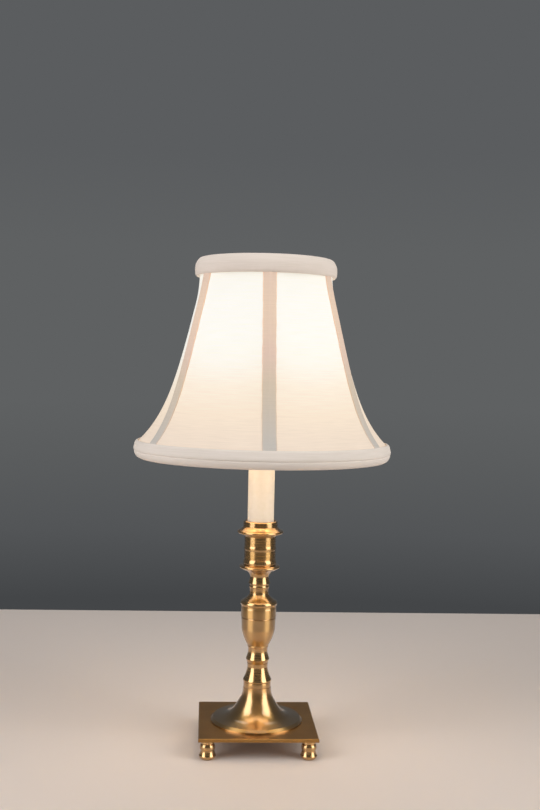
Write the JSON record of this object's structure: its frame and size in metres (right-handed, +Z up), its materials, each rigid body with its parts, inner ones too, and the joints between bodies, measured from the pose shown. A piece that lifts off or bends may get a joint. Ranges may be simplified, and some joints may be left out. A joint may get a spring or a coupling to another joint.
{
  "type": "candlestick table lamp",
  "caption": "Turned brass candlestick table lamp with a square footed base, an ivory candle sleeve and a flared panelled fabric shade clipped to the bulb.",
  "frame": {"origin": "on the floor under the stem's axis, in the plane of the feet", "axes": "+Z up the stem, -Y towards the front, +X to the right as seen from the front"},
  "size_m": [0.2408, 0.2408, 0.4572],
  "materials": {
    "stem_brass": "antique, satin brushed",
    "plated_steel": "zinc plated",
    "black_plastic": "moulded",
    "holder_moulding": "phenolic moulding",
    "shell_brass": "plain stamped",
    "lead_plastic": "insulated wire",
    "sleeve_card": "ivory coated paper tube",
    "bulb_glass": "clear glass",
    "insulator": "black glass",
    "solder": "tinned",
    "filament": "tungsten wire",
    "frame_wire": "plated wire",
    "shade_fabric": "ivory silk, stretched",
    "shade_tape": "folded ivory tape",
    "shade_trim": "padded ivory binding",
    "shade_lining": "white lining"
  },
  "bodies": {
    "lamp": {"base_plate": "stem_brass", "base_foot_1": "stem_brass", "base_foot_2": "stem_brass", "base_foot_3": "stem_brass", "base_foot_4": "stem_brass", "foot_studs": "plated_steel", "flared_foot": "stem_brass", "stem_knop": "stem_brass", "stem_urn": "stem_brass", "stem_shoulder": "stem_brass", "stem_neck": "stem_brass", "candle_cup": "stem_brass", "threaded_pipe": "plated_steel", "base_washer": "plated_steel", "base_nut": "plated_steel", "cup_nut": "plated_steel", "cord_bushing": "black_plastic", "socket_bracket": "plated_steel", "socket_body": "holder_moulding", "socket_screw_shell": "shell_brass", "socket_contact": "shell_brass", "socket_leads": "lead_plastic"},
    "sleeve": {"candle_sleeve": "sleeve_card"},
    "bulb": {"bulb_glass": "bulb_glass", "bulb_cap": "shell_brass", "bulb_insulator": "insulator", "bulb_contact": "solder", "bulb_mount": "bulb_glass", "bulb_filament": "filament"},
    "clip": {"clip_loop_1": "frame_wire", "clip_loop_2": "frame_wire", "clip_rivet": "frame_wire"},
    "shade": {"shade_hub": "frame_wire", "shade_arm_1": "frame_wire", "shade_arm_2": "frame_wire", "shade_arm_3": "frame_wire", "shade_top_ring": "frame_wire", "shade_bottom_ring": "frame_wire", "shade_rib_1": "frame_wire", "shade_rib_2": "frame_wire", "shade_rib_3": "frame_wire", "shade_rib_4": "frame_wire", "shade_rib_5": "frame_wire", "shade_rib_6": "frame_wire", "shade_top_trim": "shade_trim", "shade_bottom_trim": "shade_trim", "shade_lining": "shade_lining", "shade_panel_1": "shade_fabric", "shade_panel_2": "shade_fabric", "shade_panel_3": "shade_fabric", "shade_panel_4": "shade_fabric", "shade_panel_5": "shade_fabric", "shade_panel_6": "shade_fabric", "shade_tape_1": "shade_tape", "shade_tape_2": "shade_tape", "shade_tape_3": "shade_tape", "shade_tape_4": "shade_tape", "shade_tape_5": "shade_tape", "shade_tape_6": "shade_tape"}
  },
  "joints": [
    {"name": "sleeve_lift", "type": "slide", "parent": "lamp", "child": "sleeve", "axis": [0, 0, 1], "range_m": [0, 0.006]},
    {"name": "bulb_turn", "type": "hinge", "parent": "lamp", "child": "bulb", "pos_m": [0, 0, 0.333], "axis": [0, 0, 1], "range_deg": [0, 900]},
    {"name": "shade_lift", "type": "slide", "parent": "bulb", "child": "clip", "axis": [0, 0, 1], "range_m": [0, 0.17]},
    {"name": "shade_turn", "type": "hinge", "parent": "clip", "child": "shade", "pos_m": [0, 0, 0.4268], "axis": [0, 0, 1], "continuous": true}
  ]
}
